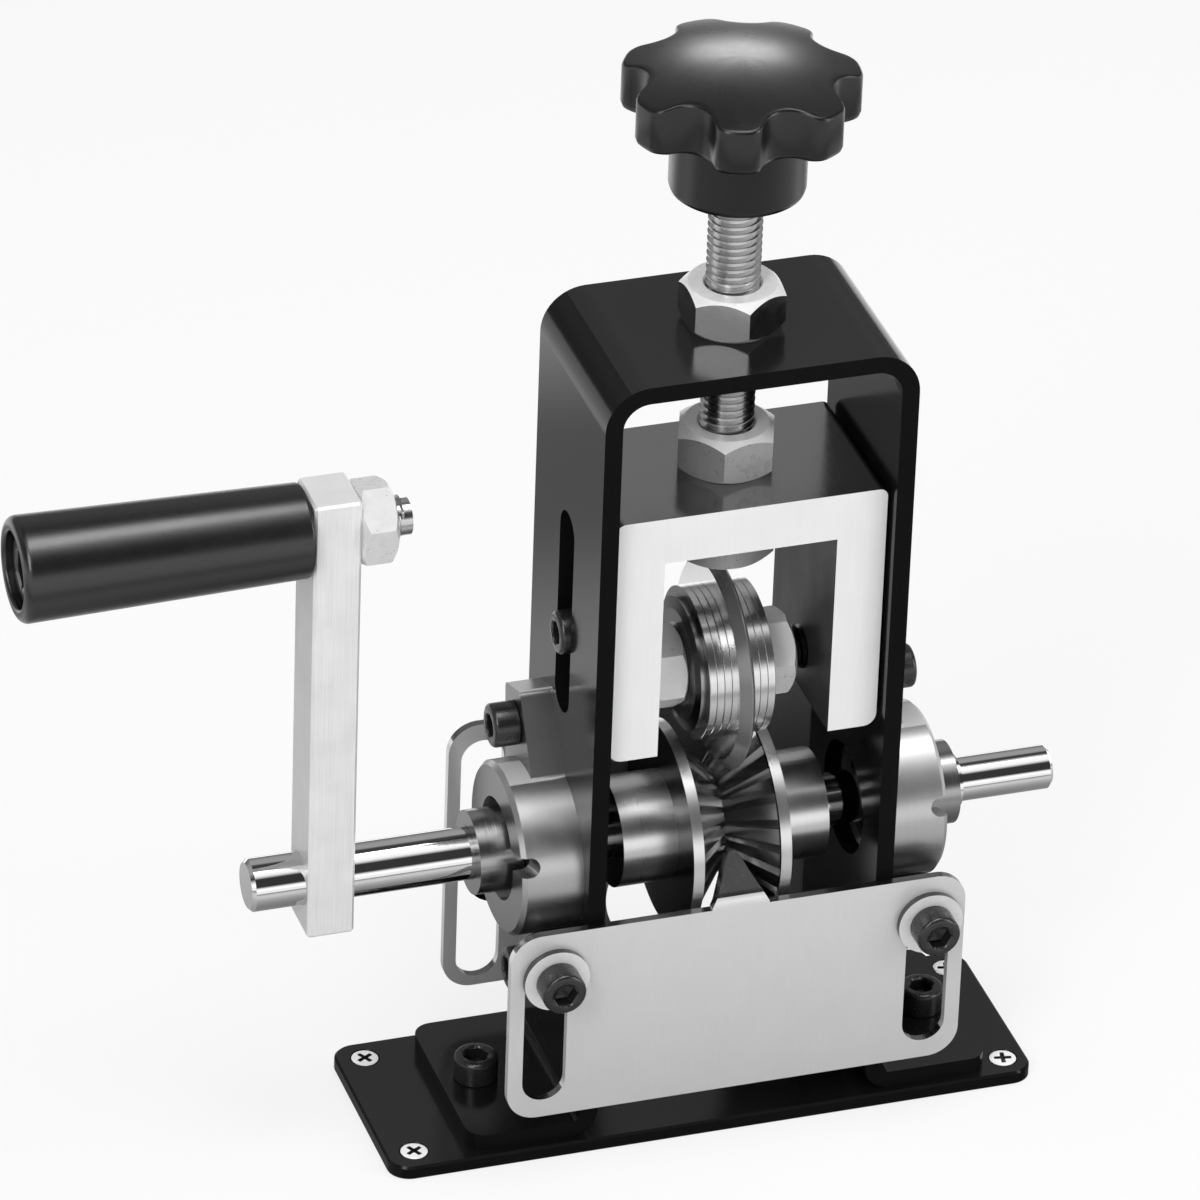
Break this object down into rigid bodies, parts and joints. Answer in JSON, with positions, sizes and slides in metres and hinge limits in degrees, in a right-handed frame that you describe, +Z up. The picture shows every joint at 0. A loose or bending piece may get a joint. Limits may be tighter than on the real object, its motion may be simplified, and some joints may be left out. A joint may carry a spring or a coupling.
{
  "type": "hand crank wire stripper",
  "caption": "Bench wire stripper: folded steel frame on a base plate, cranked serrated feed wheels and a disc blade set by a screw spindle with a star knob.",
  "frame": {"origin": "underside of the base plate, below the middle of the frame and the blade", "axes": "+X along the drive shaft away from the crank, +Y to the rear where the cable is fed in, +Z up"},
  "size_m": [0.24, 0.067, 0.2593],
  "materials": {
    "black_paint": "gloss black enamel",
    "bright_zinc": "bright zinc plate",
    "black_oxide": "black oxide, slightly oiled",
    "dark_casting": "dark polished casting",
    "bearing_steel": "ground bearing steel",
    "seal_rubber": "matt",
    "polished_steel": "polished",
    "wheel_steel": "dark machined steel with bright ridges",
    "arm_aluminium": "brushed",
    "grip_plastic": "gloss",
    "knob_plastic": "gloss",
    "guide_sheet": "satin with bright cut edges",
    "carriage_aluminium": "satin milled",
    "blade_steel": "ground, with a bright bevel",
    "washer_steel": "turned"
  },
  "bodies": {
    "base": {"base_plate": "black_paint", "base_screws": "bright_zinc", "u_frame": "black_paint", "foot_bolts": "black_oxide", "spindle_nut": "bright_zinc", "bearing_housing_left": "dark_casting", "bearing_housing_right": "dark_casting", "bearing_bolts": "black_oxide", "bearing_outer_rings": "bearing_steel", "bearing_seals": "seal_rubber", "guide_lugs": "black_paint", "guide_washers": "bright_zinc", "guide_screws": "black_oxide"},
    "drive": {"drive_shaft": "polished_steel", "drive_wheel_left": "wheel_steel", "drive_wheel_right": "wheel_steel", "wheel_set_screws": "black_oxide", "bearing_inner_rings": "bearing_steel", "collar_set_screws": "black_oxide", "crank_arm": "arm_aluminium", "crank_set_screw": "black_oxide", "grip_bolt": "bright_zinc", "grip_nut": "bright_zinc"},
    "grip": {"grip_sleeve": "grip_plastic"},
    "front_guide": {"front_guide_plate": "guide_sheet"},
    "rear_guide": {"rear_guide_plate": "guide_sheet"},
    "carriage": {"carriage": "carriage_aluminium", "carriage_guide_screws": "black_oxide", "blade_axle": "bright_zinc", "axle_nuts": "bright_zinc", "blade_bearing_inner_rings": "bearing_steel"},
    "blade": {"blade_hub": "bearing_steel", "blade_disc": "blade_steel", "blade_spacers_left": "washer_steel", "blade_spacers_right": "washer_steel", "blade_bearing_outer_rings": "bearing_steel"},
    "spindle": {"spindle": "bright_zinc", "spindle_lock_nuts": "bright_zinc", "knob": "knob_plastic"}
  },
  "joints": [
    {"name": "drive_shaft_turn", "type": "hinge", "parent": "base", "child": "drive", "pos_m": [0, 0, 0.0673], "axis": [1, 0, 0], "continuous": true},
    {"name": "grip_spin", "type": "hinge", "parent": "drive", "child": "grip", "pos_m": [-0.1275, 0, 0.1566], "axis": [1, 0, 0], "continuous": true},
    {"name": "front_guide_slide", "type": "slide", "parent": "base", "child": "front_guide", "axis": [0, 0, 1], "range_m": [-0.0022, 0.018]},
    {"name": "rear_guide_slide", "type": "slide", "parent": "base", "child": "rear_guide", "axis": [0, 0, 1], "range_m": [-0.0115, 0.014]},
    {"name": "carriage_slide", "type": "slide", "parent": "base", "child": "carriage", "axis": [0, 0, 1], "range_m": [-0.0015, 0.019]},
    {"name": "spindle_turn", "type": "hinge", "parent": "carriage", "child": "spindle", "pos_m": [0, 0, 0.2], "axis": [0, 0, 1], "range_deg": [-310, 3910]},
    {"name": "blade_spin", "type": "hinge", "parent": "carriage", "child": "blade", "pos_m": [0, 0, 0.1088], "axis": [1, 0, 0], "continuous": true}
  ],
  "couplings": [
    {"joint": "spindle_turn", "follows": "carriage_slide", "rad_per_m": 3590.4}
  ]
}
